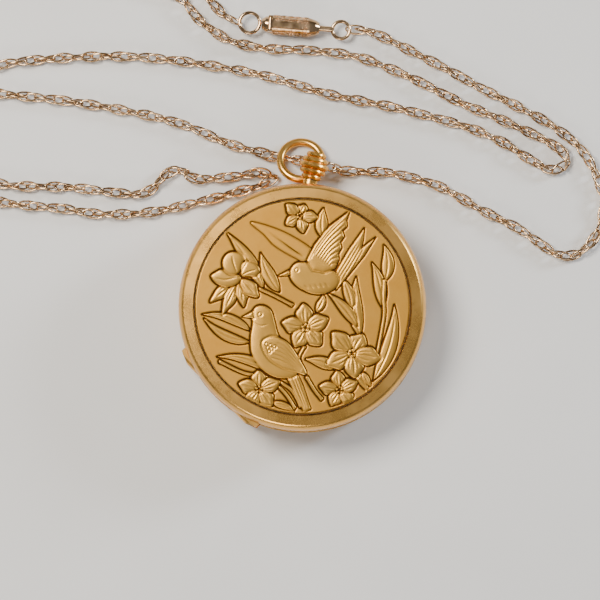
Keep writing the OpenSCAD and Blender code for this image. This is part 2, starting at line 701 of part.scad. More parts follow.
click_az = 62;
click_c = barrel_c + (ratchet_n * winding_m / 2 + 1.25) * [cos(click_az), sin(click_az)];
module click() {
    color(STEEL) translate([click_c[0], click_c[1], ratchet_z]) {
        cylinder(r = 0.5, h = wheel_t);
        cylinder(d = arbor_d, h = 0.45);
        rotate([0, 0, click_az + 180 + 52]) linear_extrude(wheel_t)
            polygon([[0, 0.5], [1.25, 0.15], [1.35, -0.05], [1.1, -0.2], [0, -0.5]]);
    }
}

module click_spring() {
    color(STEEL) translate([click_c[0], click_c[1], ratchet_z]) rotate([0, 0, click_az])
        rotate_extrude(angle = 110) translate([1.45, 0]) square([0.12, wheel_t]);
}

module centre_wheel() {
    color(BRASS) {
        translate([0, 0, centre_wheel_z]) crossed_wheel(centre_n, centre_m, wheel_t);
        translate([0, 0, bridge_z + 0.02]) cylinder(d = pivot_d * 2, h = 1);
        translate([0, 0, centre_wheel_z]) cylinder(d = arbor_d + 0.6,
            h = plate_top - centre_wheel_z - 0.05);
        translate([0, 0, plate_top - 0.1]) cylinder(d = arbor_d,
            h = minute_hand_z + hand_t + 0.05 - plate_top);
        translate([0, 0, barrel_teeth_z - 0.08]) rotate([0, 0, barrel_az])
            pinion(centre_leaves, barrel_m, 0.36);
    }
}

third_dir = atan2(third_c[1], third_c[0]);
module third_wheel() {
    color(BRASS) translate([third_c[0], third_c[1], 0]) {
        arbor(bridge_z + 0.1, plate_top - 0.1);
        translate([0, 0, third_wheel_z]) rotate([0, 0, fourth_dir]) crossed_wheel(third_n, third_m,
            wheel_t);
        translate([0, 0, centre_wheel_z - 0.02]) rotate([0, 0, third_dir + 180])
            pinion(third_leaves, centre_m, wheel_t + 0.06);
    }
}

fourth_dir = atan2(fourth_c[1] - third_c[1], fourth_c[0] - third_c[0]);
module fourth_wheel() {
    color(BRASS) translate([fourth_c[0], fourth_c[1], 0]) {
        translate([0, 0, bridge_z + 0.1]) cylinder(d = pivot_d, h = seconds_hand_z + hand_t - bridge_z);
        translate([0, 0, bridge_z + 0.5]) cylinder(d = arbor_d, h = plate_top - bridge_z - 0.9);
        translate([0, 0, fourth_wheel_z]) rotate([0, 0, escape_az]) crossed_wheel(fourth_n,
            fourth_m, wheel_t);
        translate([0, 0, third_wheel_z - 0.02]) rotate([0, 0, fourth_dir + 180])
            pinion(fourth_leaves, third_m, wheel_t + 0.06);
    }
}

// Escape wheel with slanted club teeth.
module escape_wheel() {
    color(STEEL) translate([escape_c[0], escape_c[1], 0]) {
        arbor(bridge_z + 0.1, plate_top - 0.1);
        translate([0, 0, escape_z]) difference() {
            linear_extrude(wheel_t) polygon([for (i = [0:escape_n - 1]) let (a = i * 360 / escape_n) each [
                (escape_r * 0.74) * [cos(a), sin(a)],
                escape_r * [cos(a + 9), sin(a + 9)],
                (escape_r * 0.97) * [cos(a + 13), sin(a + 13)],
                (escape_r * 0.74) * [cos(a + 9), sin(a + 9)]]]);
            translate([0, 0, -1]) cylinder(r = escape_r * 0.58, h = 3);
        }
        translate([0, 0, escape_z]) for (i = [0:3]) rotate([0, 0, i * 90])
            translate([0, -0.1, 0]) cube([escape_r * 0.64, 0.2, wheel_t]);
        translate([0, 0, fourth_wheel_z - 0.02]) rotate([0, 0, escape_az + 180])
            pinion(escape_leaves, fourth_m, wheel_t + 0.06);
    }
}

fork_l = balance_reach - 0.35 * mu;
module pallet_fork() {
    color(STEEL) translate([pallet_c[0], pallet_c[1], 0]) {
        translate([0, 0, escape_z - 0.25]) cylinder(d = pivot_d, h = plate_top - escape_z + 0.15);
        translate([0, 0, escape_z]) cylinder(d = 0.6, h = wheel_t);
        translate([0, 0, escape_z]) rotate([0, 0, balance_az]) {
            translate([0, -0.11, 0]) cube([fork_l - 0.3, 0.22, wheel_t]);
            for (s = [-1, 1]) translate([fork_l - 0.45, s * 0.2 - 0.07, 0]) cube([0.45, 0.14, wheel_t]);
            translate([fork_l - 0.5, -0.27, 0]) cube([0.2, 0.54, wheel_t]);
            for (s = [-1, 1]) linear_extrude(wheel_t) polygon([[0.2, -0.2 * s], [0.15, 0.25 * s],
                [-0.35 * mu, 1.75 * s * mu], [-0.62 * mu, 1.68 * s * mu], [-0.25, 0.1 * s]]);
        }
    }
}

module balance() {
    color(BRASS) translate([balance_c[0], balance_c[1], 0]) {
        arbor(bridge_z + 0.08, plate_top - 0.08);
        translate([0, 0, balance_z]) difference() {
            cylinder(r = balance_r, h = 0.3);
            translate([0, 0, -1]) cylinder(r = balance_r - 0.35, h = 3);
        }
        translate([-balance_r + 0.2, -0.2, balance_z + 0.08]) cube([2 * balance_r - 0.4, 0.4, 0.12]);
        translate([0, 0, balance_z + 0.4]) cylinder(r = 0.5 * mu, h = 0.1);
        for (i = [0:11]) rotate([0, 0, i * 30 + 15]) translate([balance_r - 0.05, 0, balance_z + 0.15])
            rotate([0, 90, 0]) cylinder(d = 0.22, h = 0.18);
    }
}

// Hairspring in the gap between the balance and its cock.
module hairspring() {
    turns = 6;
    steps = 20;
    strip = 0.045;
    spiral = [for (i = [0:turns * steps]) [0.42 * mu + 1.35 * mu * i / (turns * steps), i * 360 / steps]];
    color("#33435e") translate([balance_c[0], balance_c[1], balance_z - 0.16]) linear_extrude(0.1)
        polygon(concat([for (p = spiral) (p[0] - strip / 2) * [cos(p[1]), sin(p[1])]],
            [for (i = [len(spiral) - 1:-1:0]) (spiral[i][0] + strip / 2) * [cos(spiral[i][1]),
                sin(spiral[i][1])]]));
}

module cannon_pinion() {
    color(STEEL) translate([0, 0, plate_top + 0.06]) difference() {
        union() {
            rotate([0, 0, minute_az]) toothed(cannon_n, motion_m, 0.16, 0.38);
            cylinder(d = arbor_d + 0.4, h = minute_hand_z - plate_top - 0.08);
        }
        translate([0, 0, -1]) cylinder(d = arbor_d, h = 6);
    }
}

module minute_wheel() {
    color(BRASS) translate([minute_c[0], minute_c[1], plate_top + 0.08]) difference() {
        union() {
            rotate([0, 0, minute_az + 180 + 180 / minute_n]) toothed(minute_n, motion_m, 0.12);
            rotate([0, 0, minute_az + 180]) pinion(minute_leaves, hour_m, 0.34);
        }
        translate([0, 0, -1]) cylinder(d = arbor_d + 2 * fit, h = 3);
    }
}

module hour_wheel() {
    color(BRASS) translate([0, 0, plate_top + 0.27]) difference() {
        union() {
            rotate([0, 0, minute_az]) toothed(hour_n, hour_m, 0.13);
            cylinder(d = arbor_d + 0.9, h = hour_hand_z - plate_top - 0.29);
        }
        translate([0, 0, -1]) cylinder(d = arbor_d + 0.4 + 2 * fit, h = 3);
    }
}

// Jewel bearings of the train, the pallets and the balance, in the bridges and the plate.
module jewel(c, z, h, d) {
    translate([c[0], c[1], z]) difference() {
        cylinder(d = d - 0.01, h = h);
        translate([0, 0, -1]) cylinder(d = pivot_d + 2 * pivot_fit, h = 3);
    }
}
module jewels() {
    color("#b0204a") {
        for (c = [third_c, fourth_c, escape_c, balance_c]) jewel(c, bridge_z + 0.05, 0.25, jewel_d);
        jewel(pallet_c, pallet_cock_z + 0.02, pallet_cock_t - 0.04, 0.7);
        for (c = arbors) jewel(c, plate_top - 0.35, 0.3, jewel_d);
    }
}

module bridge_screws() {
    color("#3a55a0") for (p = pillars) {
        z = p[1] == pillars[7][1] ? pallet_cock_z - 0.21 : bridge_z - 0.01;
        translate([polar(p)[0], polar(p)[1], z]) difference() {
            union() {
                cylinder(d = 1.0, h = 0.2);
                cylinder(d = 0.58, h = plate_z + 0.4 - z);
            }
            translate([-1, -0.08, -1]) cube([2, 0.16, 1.1]);
        }
    }
}

// ---------- dial and hands ----------

module dial() {
    color("#f4f1e8") difference() {
        translate([0, 0, dial_z]) cylinder(r = movement_r + 0.3, h = dial_t, $fn = 120);
        translate([0, 0, dial_z - 1]) cylinder(d = arbor_d + 1.2, h = 3);
        translate([fourth_c[0], fourth_c[1], dial_z - 1]) cylinder(d = pivot_d + 0.4, h = 3);
        translate([fourth_c[0], fourth_c[1], dial_top - 0.08]) cylinder(r = 2.6 * mu, h = 1);
    }
}

// A hand with a pear-shaped swelling, pointing along +Y.
module hand(l, w, tail, bore, hub) {
    linear_extrude(hand_t) difference() {
        union() {
            circle(r = hub);
            polygon([[-w * 0.3, -tail], [w * 0.3, -tail], [w * 0.5, 0], [w * 0.32, l * 0.62],
                [w * 1.25, l * 0.74], [w * 0.9, l * 0.82], [w * 0.2, l * 0.88], [0, l],
                [-w * 0.2, l * 0.88], [-w * 0.9, l * 0.82], [-w * 1.25, l * 0.74], [-w * 0.32, l * 0.62],
                [-w * 0.5, 0]]);
        }
        circle(d = bore);
    }
}

module hour_hand() {
    color("#20304f") translate([0, 0, hour_hand_z]) rotate([0, 0, 60])
        hand(6.6 * mu, 0.6, 0.9, arbor_d + 0.9, 0.95);
}

module minute_hand() {
    color("#20304f") translate([0, 0, minute_hand_z]) rotate([0, 0, -60])
        hand(10.4 * mu, 0.5, 1.2, arbor_d, 0.75);
}

module seconds_hand() {
    color("#20304f") translate([fourth_c[0], fourth_c[1], seconds_hand_z - 0.06])
        linear_extrude(hand_t * 0.8)
        difference() {
            union() {
                circle(r = 0.35);
                polygon([[-0.09, -0.7], [0.09, -0.7], [0.03, 2.2 * mu], [-0.03, 2.2 * mu]]);
            }
            circle(d = pivot_d);
        }
}

// ---------- chain and clasp ----------

module run(route, d) {
    color(CHAIN_GOLD) translate([0, chain_out, 0]) strand(route, d);
}
module chain_right() { run(right_route, chain_d); }
module chain_left() { run(left_route, chain_d); }
module chain_last() { run(last_route, chain_d); }

// The few links that thread the bow: under its left side and over its right side.
module chain_through_bow() { run(through_route, link_d); }

module at_clasp() {
    translate([clasp_c[0], clasp_c[1] + chain_out, clasp_z]) rotate([0, 0, clasp_az]) children();
}

catch_foot = [-clasp_l / 2 + 1.2, 0, clasp_r + 0.35];

// Barrel of the clasp, turned and bored for its tongue, with the ears of the safety catch.
module clasp_barrel() {
    color(GOLD) at_clasp() translate(catch_foot) {
        rod(0.26, 2.2);
        for (e = [-1, 1]) translate([-0.3, e * 1.0 - 0.12, -0.9]) cube([0.6, 0.24, 1.2]);
    }
    color(GOLD) at_clasp() rotate([0, 90, 0]) translate([0, 0, -clasp_l / 2]) difference() {
        turned([[0, 0], [0.7, 0], [clasp_r * 0.8, 0.5], [clasp_r, 1.4], [clasp_r, clasp_l - 1.4],
            [clasp_r * 0.8, clasp_l - 0.5], [0.75, clasp_l], [0, clasp_l]], 48);
        translate([0, 0, clasp_l * 0.4]) cylinder(d = 0.9, h = clasp_l);
    }
}

// Oval wire loop on the left end, for the last link.
module clasp_loop() {
    color(GOLD) at_clasp() translate([-clasp_l / 2 - solder - loop_wire / 2 - loop_r, 0, 0])
        rotate_extrude() translate([loop_r, 0]) circle(d = loop_wire, $fn = 24);
}

// Tongue pushed into the barrel, with the ring for the first link.
module clasp_tongue() {
    color(GOLD) at_clasp() {
        translate([-0.4, 0, 0]) rotate([0, 90, 0]) cylinder(d = 0.8, h = clasp_l / 2 + 2.2);
        translate([clasp_l / 2 + 3, 0, 0]) rotate_extrude() translate([1.2, 0])
            circle(d = loop_wire, $fn = 24);
    }
}

// Safety catch that folds over the barrel.
module clasp_catch() {
    color(GOLD) at_clasp() translate(catch_foot) {
        difference() {
            rod(0.6, 1.6);
            rod(0.26 + 2 * fit, 3);
        }
        translate([0.2, -0.45, -0.15]) cube([clasp_l * 0.5, 0.9, 0.3]);
    }
}

band();
pendant();
lid();
lid_hinge_pin();
back_cover();
back_hinge_pin();
cuvette();
lid_spring();
lid_catch();
bezel();
glass();
bow();
crown();
crown_stem();
winding_stem();
movement_ring();
main_plate();
barrel_bridge();
train_bridge();
balance_cock();
pallet_cock();
barrel();
barrel_lid();
mainspring();
barrel_arbor();
ratchet_wheel();
crown_wheel();
click();
click_spring();
centre_wheel();
third_wheel();
fourth_wheel();
escape_wheel();
pallet_fork();
balance();
hairspring();
cannon_pinion();
minute_wheel();
hour_wheel();
jewels();
bridge_screws();
dial();
hour_hand();
minute_hand();
seconds_hand();
chain_right();
chain_left();
chain_last();
chain_through_bow();
clasp_barrel();
clasp_loop();
clasp_tongue();
clasp_catch();
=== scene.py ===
import math

import bmesh
import bpy
import numpy as np
from mathutils import Matrix, Vector


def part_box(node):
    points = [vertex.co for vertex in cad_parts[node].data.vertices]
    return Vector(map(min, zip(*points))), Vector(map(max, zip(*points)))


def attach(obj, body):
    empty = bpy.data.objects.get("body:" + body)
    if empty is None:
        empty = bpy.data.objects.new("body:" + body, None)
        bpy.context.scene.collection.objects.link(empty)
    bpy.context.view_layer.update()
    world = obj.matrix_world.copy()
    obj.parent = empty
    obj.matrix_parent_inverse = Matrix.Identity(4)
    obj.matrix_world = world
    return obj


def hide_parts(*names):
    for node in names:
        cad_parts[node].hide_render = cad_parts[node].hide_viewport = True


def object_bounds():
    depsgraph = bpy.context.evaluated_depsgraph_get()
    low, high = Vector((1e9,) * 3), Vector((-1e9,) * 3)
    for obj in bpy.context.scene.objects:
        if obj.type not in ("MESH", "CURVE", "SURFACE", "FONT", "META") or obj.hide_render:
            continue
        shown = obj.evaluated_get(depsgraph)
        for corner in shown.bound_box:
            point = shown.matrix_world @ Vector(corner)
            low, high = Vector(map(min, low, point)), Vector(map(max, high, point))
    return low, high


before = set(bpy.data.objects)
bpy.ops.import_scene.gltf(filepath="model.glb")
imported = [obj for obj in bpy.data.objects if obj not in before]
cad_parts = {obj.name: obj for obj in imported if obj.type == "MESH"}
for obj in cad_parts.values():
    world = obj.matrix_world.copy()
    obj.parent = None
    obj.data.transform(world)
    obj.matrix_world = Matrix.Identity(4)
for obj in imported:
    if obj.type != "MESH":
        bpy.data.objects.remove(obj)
cad_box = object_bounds()
MM = 0.001
FULL = 2 * math.pi

# ---------------------------------------------------------------- camera
VIEW_WIDTH = 0.0821
LENS = 400
SENSOR = 36
TILT = math.radians(3)
ROLL = math.radians(2.6)
AIM = Vector((-0.36, 0.88, 9.96)) * MM


def set_camera():
    data = bpy.data.cameras.new("view")
    data.lens, data.sensor_width = LENS, SENSOR
    data.clip_start, data.clip_end = 0.005, 10
    camera = bpy.data.objects.new("view", data)
    bpy.context.scene.collection.objects.link(camera)
    down = Vector((math.sin(ROLL), -math.cos(ROLL), 0))
    back = (down * math.sin(TILT) + Vector((0, 0, math.cos(TILT)))).normalized()
    up = (-down - back * (-down).dot(back)).normalized()
    right = up.cross(back)
    turn = Matrix((right, up, back)).transposed().to_4x4()
    away = VIEW_WIDTH * LENS / SENSOR
    camera.matrix_world = Matrix.Translation(AIM + back * away) @ turn
    bpy.context.scene.camera = camera


set_camera()


# ---------------------------------------------------------------- helpers
def piece_from(bm, name, body, finish, smooth=True, slot=None, replaces=()):
    """Turns a bmesh into a named piece that rides on a body."""
    mesh = bpy.data.meshes.new(name)
    bm.to_mesh(mesh)
    bm.free()
    for face in mesh.polygons:
        face.use_smooth = smooth
    piece = bpy.data.objects.new(name, mesh)
    bpy.context.scene.collection.objects.link(piece)
    if finish is not None:
        mesh.materials.append(finish)
    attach(piece, body)
    if replaces:
        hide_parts(*replaces)
    return piece


def curve_through(points, step, closed=False):
    """A smooth line through given points, cut into even steps."""
    points = [Vector(p) for p in points]
    count = len(points)
    fine = []
    spans = count if closed else count - 1
    for i in range(spans):
        if closed:
            a, b, c, d = (points[(i + k) % count] for k in (-1, 0, 1, 2))
        else:
            b, c = points[i], points[i + 1]
            a = points[i - 1] if i else b * 2 - c
            d = points[i + 2] if i + 2 < count else c * 2 - b
        for k in range(24):
            t = k / 24
            fine.append(
                0.5
                * (
                    2 * b
                    + (c - a) * t
                    + (2 * a - 5 * b + 4 * c - d) * t * t
                    + (3 * b - a - 3 * c + d) * t**3
                )
            )
    fine.append(points[0] if closed else points[-1])
    far = [0.0]
    for a, b in zip(fine, fine[1:]):
        far.append(far[-1] + (b - a).length)
    total = far[-1]
    cuts = max(2, round(total / step))
    out, k = [], 0
    for i in range(cuts + 1):
        s = total * i / cuts
        while k < len(far) - 2 and far[k + 1] < s:
            k += 1
        span = far[k + 1] - far[k]
        out.append(fine[k].lerp(fine[k + 1], (s - far[k]) / span if span else 0))
    return out


# ---------------------------------------------------------------- finishes
class Flow:
    """A shader value, on which sums read as sums."""

    def __init__(self, tree, socket):
        self.tree, self.socket = tree, socket

    def _sum(self, operation, first, second):
        made = self.tree.nodes.new("ShaderNodeMath")
        made.operation = operation
        for slot, item in zip(made.inputs, (first, second)):
            if isinstance(item, Flow):
                self.tree.links.new(item.socket, slot)
            else:
                slot.default_value = item
        return Flow(self.tree, made.outputs[0])

    def __add__(self, other):
        return self._sum("ADD", self, other)

    def __radd__(self, other):
        return self._sum("ADD", other, self)

    def __sub__(self, other):
        return self._sum("SUBTRACT", self, other)

    def __rsub__(self, other):
        return self._sum("SUBTRACT", other, self)

    def __mul__(self, other):
        return self._sum("MULTIPLY", self, other)

    def __rmul__(self, other):
        return self._sum("MULTIPLY", other, self)

    def __pow__(self, other):
        return self._sum("POWER", self, other)


class Finish:
    """One material and the nodes that make its look."""

    def __init__(self, name):
        self.material = bpy.data.materials.new(name)
        self.material.use_nodes = True
        self.tree = self.material.node_tree
        self.shader = self.tree.nodes["Principled BSDF"]

    def node(self, kind, out=0, settings=None, **values):
        made = self.tree.nodes.new("ShaderNode" + kind)
        for key, value in (settings or {}).items():
            setattr(made, key, value)
        for key, value in values.items():
            slot = next(
                s for s in made.inputs if s.enabled and s.name.replace(" ", "_") == key
            )
            if isinstance(value, Flow):
                self.tree.links.new(value.socket, slot)
            else:
                slot.default_value = value
        return Flow(self.tree, made.outputs[out])

    def place(self, scale=(1, 1, 1)):
        at = self.node("TexCoord", out=3)
        return self.node("Mapping", Vector=at, Scale=scale)

    def grain(self, size, detail=3.0, scale=(1, 1, 1)):
        return self.node(
            "TexNoise",
            Vector=self.place(scale),
            Scale=1 / size,
            Detail=detail,
            Roughness=0.6,
        )

    def between(self, value, low, high):
        """0 at low and 1 at high, held at both ends."""
        return self.node("MapRange", Value=value, From_Min=low, From_Max=high)

    def mix(self, amount, first, second):
        made = self.tree.nodes.new("ShaderNodeMix")
        made.data_type = "RGBA"
        self.tree.links.new(amount.socket, made.inputs[0])
        for slot, item in ((made.inputs[6], first), (made.inputs[7], second)):
            if isinstance(item, Flow):
                self.tree.links.new(item.socket, slot)
            else:
                slot.default_value = (*item, 1)
        return Flow(self.tree, made.outputs[2])

    def bump(self, height, depth):
        return self.node("Bump", Height=height, Distance=depth, Strength=1.0)

    def set(self, **values):
        for key, value in values.items():
            slot = self.shader.inputs[key.replace("_", " ")]
            if isinstance(value, Flow):
                self.tree.links.new(value.socket, slot)
            else:
                slot.default_value = value
        return self.material


def worn_metal(name, light, dark, rough, grain=0.9 * MM, scratch=0.3, depth=2e-6):
    """Cast or rolled metal with faint clouding, hairline wear and a fine skin."""
    made = Finish(name)
    cloud = made.between(made.grain(grain * 4), 0.35, 0.7)
    skin = made.grain(grain * 0.12, detail=4)
    along = made.grain(grain * 0.3, detail=2, scale=(1, 12, 4))
    across = made.grain(grain * 0.3, detail=2, scale=(12, 1, 4))
    hair = made.between(along * across, 0.3, 0.42)
    low, high = rough
    return made.set(
        Base_Color=made.mix(cloud, dark, light),
        Metallic=1.0,
        Roughness=low + (high - low) * cloud + hair * scratch * 0.3,
        Normal=made.bump(skin + hair * scratch, depth),
    )


GOLD = worn_metal("polished gold", (0.8, 0.44, 0.11), (0.74, 0.39, 0.085), (0.25, 0.31))
CHAIN_GOLD = worn_metal(
    "rose gold wire", (0.84, 0.57, 0.33), (0.42, 0.26, 0.13), (0.12, 0.24), grain=0.4 * MM
)
STEEL = worn_metal("polished steel", (0.62, 0.62, 0.63), (0.5, 0.5, 0.52), (0.18, 0.3))
BRASS = worn_metal(
    "frosted gilt brass", (0.74, 0.47, 0.16), (0.6, 0.35, 0.1), (0.34, 0.46), depth=8e-6
)
BLUED = worn_metal("blued steel", (0.04, 0.09, 0.34), (0.02, 0.04, 0.2), (0.16, 0.26))


def relief_gold():
    """Satin gold that stays dull down in the cut lines, with painted shade there and a painted
    highlight on the raised crests.
    """
    made = Finish("satin gold relief")
    height = made.node("Attribute", out=2, settings={"attribute_name": "relief"})
    low = made.between(height, 0.25, 0.47)
    # low marks the cut lines, which are painted near black as shade; high marks the crests, which
    # are painted lighter as a highlight.
    high = made.between(height, 0.6, 1.0)
    cloud = made.between(made.grain(3.5 * MM), 0.3, 0.75)
    skin = made.grain(0.1 * MM, detail=4)
    ground = made.mix(cloud, (0.54, 0.26, 0.036), (0.64, 0.33, 0.055))
    raised = made.mix(high, ground, (0.72, 0.39, 0.075))
    return made.set(
        # Painted shade in the cut lines and a painted highlight on the crests, laid over the
        # clouded ground colour.
        Base_Color=made.mix(low, (0.07, 0.022, 0.004), raised),
        Metallic=1.0,
        Roughness=0.44 - 0.1 * high - 0.05 * cloud,
        Normal=made.bump(skin, 4e-6),
    )


def enamel():
    made = Finish("white enamel")
    cloud = made.between(made.grain(2 * MM), 0.3, 0.7)
    return made.set(
        Base_Color=made.mix(cloud, (0.8, 0.78, 0.71), (0.86, 0.85, 0.8)),
        Roughness=0.16 + 0.1 * cloud,
        Normal=made.bump(made.grain(0.6 * MM), 2e-6),
        Coat_Weight=0.4,
    )


def dial_ink():
    made = Finish("fired black enamel")
    cloud = made.between(made.grain(0.5 * MM), 0.3, 0.7)
    return made.set(
        Base_Color=made.mix(cloud, (0.008, 0.008, 0.01), (0.03, 0.03, 0.035)),
        Roughness=0.25 + 0.15 * cloud,
    )


def ruby():
    made = Finish("ruby")
    cloud = made.between(made.grain(0.3 * MM), 0.3, 0.7)
    return made.set(
        Base_Color=made.mix(cloud, (0.45, 0.01, 0.05), (0.65, 0.03, 0.1)),
        Roughness=0.06 + 0.1 * cloud,
        Coat_Weight=0.5,
    )


def watch_glass():
    made = Finish("watch glass")
    cloud = made.between(made.grain(5 * MM), 0.3, 0.7)
    made.material.blend_method = "BLEND"
    return made.set(
        Base_Color=made.mix(cloud, (0.96, 0.98, 0.98), (1, 1, 1)),
        Roughness=0.02 + 0.03 * cloud,
        IOR=1.5,
        Alpha=0.12 + 0.03 * cloud,
    )


def groove_patina():
    """Painted shade: a near-black ring laid down in the turned groove, where the groove's shade
    falls.
    """
    made = Finish("painted groove shade")
    cloud = made.between(made.grain(1.2 * MM), 0.35, 0.65)
    return made.set(
        Base_Color=made.mix(cloud, (0.02, 0.009, 0.003), (0.12, 0.055, 0.012)),
        Metallic=0.8,
        Roughness=0.5 + 0.2 * cloud,
        Normal=made.bump(made.grain(0.2 * MM), 5e-6),
    )


GROOVE_SHADE = groove_patina()
RELIEF, ENAMEL, INK, RUBY, GLASS = relief_gold(), enamel(), dial_ink(), ruby(), watch_glass()

# ---------------------------------------------------------------- neck chain
CHAIN_Z = 0.8
LINK_STEP = 1.3
LINK_REACH = 1.45
LINK_HALF = 0.64
WIRE = 0.15
LINK_TWIST = math.radians(56)
RIGHT_ROUTE = [
    (5.5, 19.5), (8, 19.5), (11.5, 19.5), (18, 18), (24, 15), (29.5, 12.5), (34.5, 9.5),
    (37.5, 9.5), (40, 12), (41, 16), (40, 20), (37.5, 24), (33.5, 27), (28.5, 29.5),
    (23, 32), (19, 34), (13.5, 36.5), (9, 38.5), (6.5, 39.2), (5.7, 39.15),
]
LEFT_ROUTE = [
    (-6.5, 21.5), (-11, 22.5), (-18, 25), (-26, 26.5), (-34.5, 27.5), (-42.5, 28),
    (-45.5, 28.5), (-46.5, 30), (-45, 31.5), (-38, 33), (-24, 34), (-8.5, 32.5), (2.5, 30),
    (12, 28.5), (21, 26.5), (26.5, 24.5), (31, 22), (34, 21), (35.5, 22.5), (33.5, 24.5),
    (26.5, 27.5), (21, 29.5), (15.5, 32), (10.5, 34), (5.5, 35.5), (-1, 36), (-7, 36),
    (-12, 37), (-16, 39.5), (-20, 43), (-29.5, 44), (-39.5, 44), (-47, 42.5), (-49, 38),
    (-49, 22.5), (-47.5, 17.5), (-42, 15.5), (-33, 15.5), (-25, 15), (-22, 15.5),
    (-19.5, 18), (-17.5, 18.5), (-15.5, 17.5), (-10.5, 18), (-6.5, 18.8), (-5.5, 18.4),
]
LAST_ROUTE = [
    (-5.5, 17.6), (-6.5, 17), (-11, 15.5), (-16, 14), (-22, 12.5), (-28.5, 12), (-33.5, 12.5),
    (-42, 13), (-48, 14.5), (-51, 18), (-51.5, 32), (-51.5, 40), (-49, 45), (-39.5, 46.5),
    (-28, 46.5), (-20, 45.5), (-15.5, 43), (-13, 40.6), (-11.5, 39.8),
]
BOW_ROUTE = [
    (-5.3, 21.1, 0.8), (-4, 21, 0.8), (-2.5, 20.8, 1), (0, 20.4, 2.2), (1.2, 20.1, 2.8),
    (2.2, 20, 2.8), (3.4, 19.8, 1.85), (4.4, 19.6, 0.9),
]


def link_pattern(reach, half, wire, around=14, sides=5):
    """The corners and faces of one link, made once and copied along the chain."""
    bm = bmesh.new()
    start = Matrix.Translation((half, 0, 0)) @ Matrix.Rotation(math.pi / 2, 4, "X")
    bmesh.ops.create_circle(bm, segments=sides, radius=wire, matrix=start)
    bmesh.ops.spin(
        bm, geom=bm.verts[:] + bm.edges[:], cent=(0, 0, 0), axis=(0, 0, 1), angle=FULL,
        steps=around, use_merge=True,
    )
    bmesh.ops.remove_doubles(bm, verts=bm.verts[:], dist=wire * 0.05)
    for v in bm.verts:
        flat = Vector((v.co.x, v.co.y))
        pull = (reach - half) * (flat.y / flat.length)
        v.co.y += pull
    bmesh.ops.recalc_face_normals(bm, faces=bm.faces[:])
    mesh = bpy.data.meshes.new("link")
    bm.to_mesh(mesh)
    bm.free()
    return mesh


LINK = link_pattern(LINK_REACH * MM, LINK_HALF * MM, WIRE * MM)


def lay_links(route, name, body, replaces):
    """Oval links set along a route, each turned a little further than the one before it."""
    # A point with no height of its own lies at the height of the resting chain.
    line = curve_through([Vector((*p, CHAIN_Z)[:3]) * MM for p in route], LINK_STEP * MM)
    bm = bmesh.new()
    for i, at in enumerate(line):
        ahead = line[min(i + 1, len(line) - 1)] - line[max(i - 1, 0)]
        ahead.normalize()
        side = Vector((0, 0, 1)).cross(ahead).normalized()
        over = ahead.cross(side)
        angle = i * LINK_TWIST
        flat = side * math.cos(angle) + over * math.sin(angle)
        normal = ahead.cross(flat)
        turn = Matrix((flat, ahead, normal)).transposed().to_4x4()
        first = len(bm.verts)
        bm.from_mesh(LINK)
        bm.verts.ensure_lookup_table()
        bmesh.ops.transform(
            bm, matrix=Matrix.Translation(at) @ turn, verts=bm.verts[first:]
        )
        # No link dips below the surface that the chain rests on.
        sunk = -min(v.co.z for v in bm.verts[first:])
        if sunk > 0:
            bmesh.ops.translate(bm, vec=(0, 0, sunk), verts=bm.verts[first:])
    piece = piece_from(bm, name, body, CHAIN_GOLD, slot="chain_gold", replaces=replaces)
    return piece, line


bow_links, _ = lay_links(BOW_ROUTE, "links_through_bow", "bow", ["chain_through_bow"])
right_links, right_line = lay_links(RIGHT_ROUTE, "chain_right_links", "case", ["chain_right"])
left_links, left_line = lay_links(LEFT_ROUTE, "chain_left_links", "case", ["chain_left"])
last_links, last_line = lay_links(LAST_ROUTE, "chain_last_links", "case", ["chain_last"])

# ---------------------------------------------------------------- clasp filigree
CLASP_AT = Vector((-3.4, 39.2, 1.45)) * MM
CLASP_TURN = math.radians(-2)
FILIGREE_R = 1.33
FILIGREE_HALF = 2.5
ROWS = 8
FIRST_ROW = 0.39
SCROLLS = 5
SCROLL_BEADS = 18
SCROLL_TURNS = 1.3
SCROLL_R = 0.44
SCROLL_CLOSES = 0.2
BEAD_R = 0.075
GRAIN_R = 0.14


def clasp_filigree():
    """Fine wire scrolls laid round the barrel, with a grain of gold in each."""
    bm = bmesh.new()
    pitch = 2 * FILIGREE_HALF / SCROLLS
    place = Matrix.Translation(CLASP_AT) @ Matrix.Rotation(CLASP_TURN, 4, "Z")
    for row in range(ROWS):
        around = place @ Matrix.Rotation(row * FULL / ROWS + FIRST_ROW, 4, "X")
        for k in range(SCROLLS):
            middle = -FILIGREE_HALF + pitch * (k + 0.5)
            for step in range(SCROLL_BEADS):
                turn = FULL * step / SCROLL_BEADS * SCROLL_TURNS
                reach = SCROLL_R - SCROLL_CLOSES * step / SCROLL_BEADS
                along = middle + reach * math.cos(turn)
                across = reach * math.sin(turn)
                spot = Vector((along, across, math.sqrt(FILIGREE_R**2 - across**2))) * MM
                bmesh.ops.create_icosphere(
                    bm, subdivisions=1, radius=BEAD_R * MM,
                    matrix=around @ Matrix.Translation(spot),
                )
            grain = Vector((middle, 0, FILIGREE_R + 0.02)) * MM
            bmesh.ops.create_icosphere(
                bm, subdivisions=1, radius=GRAIN_R * MM,
                matrix=around @ Matrix.Translation(grain),
            )
    return piece_from(bm, "clasp_filigree", "case", CHAIN_GOLD, slot="chain_gold")


clasp_filigree()

